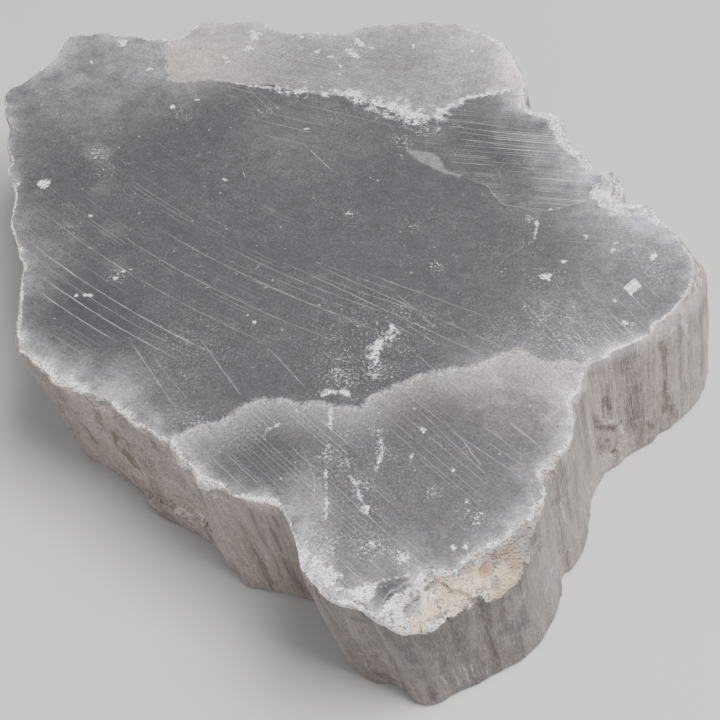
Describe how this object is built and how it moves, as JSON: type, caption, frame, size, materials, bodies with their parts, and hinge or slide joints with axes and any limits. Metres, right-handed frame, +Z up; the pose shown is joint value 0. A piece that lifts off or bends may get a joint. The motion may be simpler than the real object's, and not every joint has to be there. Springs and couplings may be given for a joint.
{
  "type": "selenite crystal slab",
  "caption": "Thick cross-cut slab of fibrous selenite crystal with flat sawn faces, a crushed white rim and a broken, ribbed outer wall, resting on its sawn base.",
  "frame": {"origin": "centre of the slab's footprint box, on the sawn base that it rests on", "axes": "+Z up, square to the two sawn faces; +Y along the slab's longest extent, away from the chipped front corner; +X across it, the way the fibres lean as they go down"},
  "size_m": [0.24, 0.2474, 0.054],
  "materials": {
    "selenite": "satin"
  },
  "bodies": {
    "root": {"selenite_slab": "selenite"}
  },
  "joints": []
}
